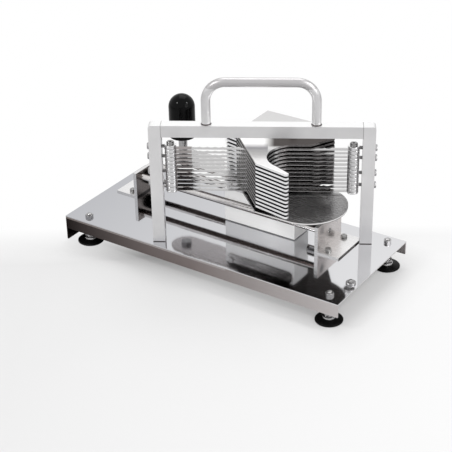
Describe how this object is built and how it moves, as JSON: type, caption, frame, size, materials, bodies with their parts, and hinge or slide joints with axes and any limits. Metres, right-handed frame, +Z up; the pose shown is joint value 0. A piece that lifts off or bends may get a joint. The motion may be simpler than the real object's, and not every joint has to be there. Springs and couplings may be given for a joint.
{
  "type": "tomato slicer",
  "caption": "Manual fruit slicer: a finger pusher slides on two rods through a diagonal stack of scalloped blades, on a polished base with suction feet.",
  "frame": {"origin": "bottom centre of the whole slicer, on the surface it stands on", "axes": "+X the way the pusher is pushed, +Y to the far side, +Z up"},
  "size_m": [0.43, 0.19, 0.269],
  "materials": {
    "polished_sheet": "polished stainless steel that mirrors what stands on it",
    "brushed_sheet": "satin",
    "portal_steel": "satin square tube",
    "rod_steel": "ground and polished",
    "bolt_steel": "plain stainless fasteners",
    "screw_dark": "darker screws",
    "blade_steel": "ground blade steel",
    "finger_steel": "satin plates",
    "white_plastic": "satin white block",
    "black_plastic": "glossy black grip",
    "black_rubber": "matt black rubber"
  },
  "bodies": {
    "frame": {"base": "polished_sheet", "pad_front_left": "black_rubber", "pad_front_right": "black_rubber", "pad_back_left": "black_rubber", "pad_back_right": "black_rubber", "bumper": "black_rubber", "foot_front_left": "bolt_steel", "foot_front_right": "bolt_steel", "foot_back_left": "bolt_steel", "foot_back_right": "bolt_steel", "base_screw": "bolt_steel", "stop_pin": "bolt_steel", "tension_bolts_left": "bolt_steel", "tension_bolts_right": "bolt_steel", "bracket_left": "brushed_sheet", "bracket_right": "brushed_sheet", "bracket_bolts_left": "screw_dark", "bracket_bolts_right": "screw_dark", "stack_screw_left": "screw_dark", "stack_screw_right": "screw_dark", "rod_near": "rod_steel", "rod_far": "rod_steel", "portal_leg_left": "portal_steel", "portal_leg_right": "portal_steel", "portal_bar": "portal_steel", "handle": "portal_steel", "spacers_left": "portal_steel", "spacers_right": "portal_steel", "blade_01": "blade_steel", "blade_02": "blade_steel", "blade_03": "blade_steel", "blade_04": "blade_steel", "blade_05": "blade_steel", "blade_06": "blade_steel", "blade_07": "blade_steel", "blade_08": "blade_steel", "blade_09": "blade_steel", "blade_10": "blade_steel", "blade_11": "blade_steel", "blade_12": "blade_steel"},
    "pusher": {"block": "white_plastic", "block_strip": "brushed_sheet", "tray_plate": "brushed_sheet", "grip": "black_plastic", "grip_stem": "bolt_steel", "finger_post": "white_plastic", "finger_bolts": "screw_dark", "finger_spacers": "finger_steel", "top_plate": "finger_steel", "finger_01": "finger_steel", "finger_02": "finger_steel", "finger_03": "finger_steel", "finger_04": "finger_steel", "finger_05": "finger_steel", "finger_06": "finger_steel", "finger_07": "finger_steel", "finger_08": "finger_steel", "finger_09": "finger_steel", "finger_10": "finger_steel", "finger_11": "finger_steel"}
  },
  "joints": [
    {"name": "pusher_slide", "type": "slide", "parent": "frame", "child": "pusher", "axis": [1, 0, 0], "range_m": [-0.1327, 0.0117]}
  ]
}
